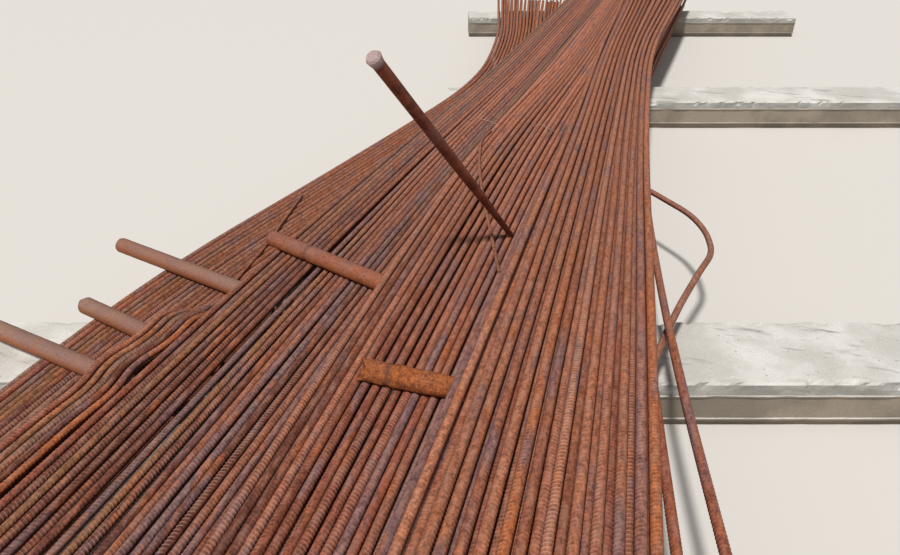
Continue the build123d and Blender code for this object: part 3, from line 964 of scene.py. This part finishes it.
for number, (layer_node, recipe) in enumerate(layers.items()):
    bar_radius, thickness, wander, ribbed_count, near_palette, far_palette = recipe
    lines = middle_lines(layer_node, bar_radius)
    ribbed = [RIBBED_REACH if index < ribbed_count else 0.0 for index in range(len(lines))]
    if layer_node == "bars_layer_4":
        # The two bars that leave the heap at its right side
        ribbed[-2:] = [RIBBED_REACH] * 2
    tints = pick_tints(len(lines), near_palette, far_palette, 100 + number)
    shape = (bar_radius, thickness, wander, ribbed)
    piece = bars_piece("ribbed_" + layer_node, layer_node, lines, *shape, tints, 200 + number)
    finish_with(piece, bar_material)

loop_height = float(node_mesh("loop_bar")[0][:, 2].mean())
loop_route = smooth_route([(x, y, loop_height) for x, y in LOOP_PLACES])
loop_tints = [[np.array(linear(152, 104, 86)), np.array(linear(150, 108, 90))]]
loop_shape = (BAR_RADIUS, (1, 1), 0, [LOOP_RIBBED_REACH])
loop = bars_piece("bent_loop_bar", "loop_bar", [loop_route], *loop_shape, loop_tints, 300)
finish_with(loop, bar_material)


# Pipes: colour at the left and the right end, how ragged those ends are, grooves from the left
# end, thickness of the scale from 0 to 1, and depth of the notch in the left end

pipe_material = pipe_rust()
pipes = {
    "pipe_offcut_left": (GREY_SKIN, BROWN_SKIN, (0.002, 0.004), (), 0.0, 0.0),
    "pipe_offcut_short": (GREY_SKIN, SKIN_ORANGE, (0.012, 0.003), (), 0.1, 0.0),
    "pipe_offcut_low": (BROWN_SKIN, GREY_SKIN, (0.005, 0.003), (), 0.0, 0.0),
    "pipe_spacer_middle_bottom": (BROWN_SKIN, BROWN_SKIN, (0.003, 0.003), (), 0.1, 0.0),
    "pipe_spacer_far_bottom": (GREY_SKIN, BROWN_SKIN, (0.003, 0.003), (), 0.1, 0.0),
    "pipe_spacer_near_lower": (
        linear(142, 94, 82), linear(172, 104, 68), (0.003, 0.002), (0.165,), 0.35, 0.0,
    ),
    "pipe_spacer_near_upper": (
        linear(162, 94, 54), linear(164, 96, 52), (0.008, 0.003), (0.078,), 1.0, 0.028,
    ),
    "pipe_spacer_middle_lower": (BROWN_SKIN, BROWN_SKIN, (0.003, 0.003), (), 0.2, 0.0),
    "pipe_spacer_middle_upper": (GREY_SKIN, BROWN_SKIN, (0.003, 0.003), (), 0.1, 0.0),
    "pipe_spacer_far_lower": (BROWN_SKIN, GREY_SKIN, (0.003, 0.003), (), 0.1, 0.0),
    "pipe_spacer_far_upper": (BROWN_SKIN, BROWN_SKIN, (0.003, 0.003), (), 0.2, 0.0),
}
for number, (pipe_node, (left_tint, right_tint, *shape)) in enumerate(pipes.items()):
    finish_with(pipe_piece(pipe_node, (left_tint, right_tint), *shape, 11 + number), pipe_material)

finish_with(stake_piece(), stake_steel())

concrete_material = sleeper_concrete()
for number, sleeper_node in enumerate(("sleeper_near", "sleeper_middle", "sleeper_far")):
    finish_with(sleeper_piece(sleeper_node, 41 + 7 * number), concrete_material)


# The CAD nodes that stay as they are, with a finish each

rod_material = wire_rust("rod_rust", linear(158, 106, 82), linear(118, 74, 60))
wire_material = wire_rust("pale_wire_rust", linear(190, 164, 146), linear(150, 116, 98))
for name in ("thin_rod_long", "thin_rod_short"):
    finish_with(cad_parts[name], rod_material)
for name in ("tie_wire_1", "tie_wire_2", "tie_wire_3", "tie_wire_4"):
    finish_with(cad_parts[name], wire_material)


# Floor, light and camera

def studio():
    """A pale floor, a pale world and a soft high sun."""
    floor = bpy.data.objects.new("floor", bpy.data.meshes.new("floor"))
    reach = 40.0
    floor.data.from_pydata(
        [(-reach, -reach, 0), (reach, -reach, 0), (reach, reach, 0), (-reach, reach, 0)],
        [], [(0, 1, 2, 3)],
    )
    bpy.context.scene.collection.objects.link(floor)
    made, _, shader = material("pale_floor")
    shader.inputs["Base Color"].default_value = (0.72, 0.70, 0.67, 1)
    shader.inputs["Roughness"].default_value = 0.95
    finish_with(floor, made)

    world = bpy.data.worlds.new("studio")
    world.use_nodes = True
    background = world.node_tree.nodes["Background"]
    background.inputs["Color"].default_value = (1.0, 0.985, 0.97, 1)
    background.inputs["Strength"].default_value = 0.26
    bpy.context.scene.world = world

    sun = bpy.data.lights.new("sun", "SUN")
    sun.energy = 3.15
    sun.angle = math.radians(5)
    sun.color = (1.0, 0.965, 0.92)
    lamp = bpy.data.objects.new("sun", sun)
    lamp.rotation_euler = Vector((0.10, 0.51, -0.86)).to_track_quat("-Z", "Y").to_euler()
    bpy.context.scene.collection.objects.link(lamp)


def camera():
    """The photograph's view: height, tilt and turn from the sleepers and the bars."""
    lens = bpy.data.cameras.new("view")
    lens.sensor_width = 36
    lens.lens = FOCAL_PIXELS / PHOTO_WIDTH * lens.sensor_width
    lens.clip_end = 200
    eye = bpy.data.objects.new("view", lens)
    eye.location = CAMERA_PLACE
    eye.rotation_euler = (math.radians(90 - CAMERA_TILT), 0, math.radians(CAMERA_TURN))
    bpy.context.scene.collection.objects.link(eye)
    bpy.context.scene.camera = eye


studio()
camera()
bpy.context.scene.view_settings.view_transform = "Standard"
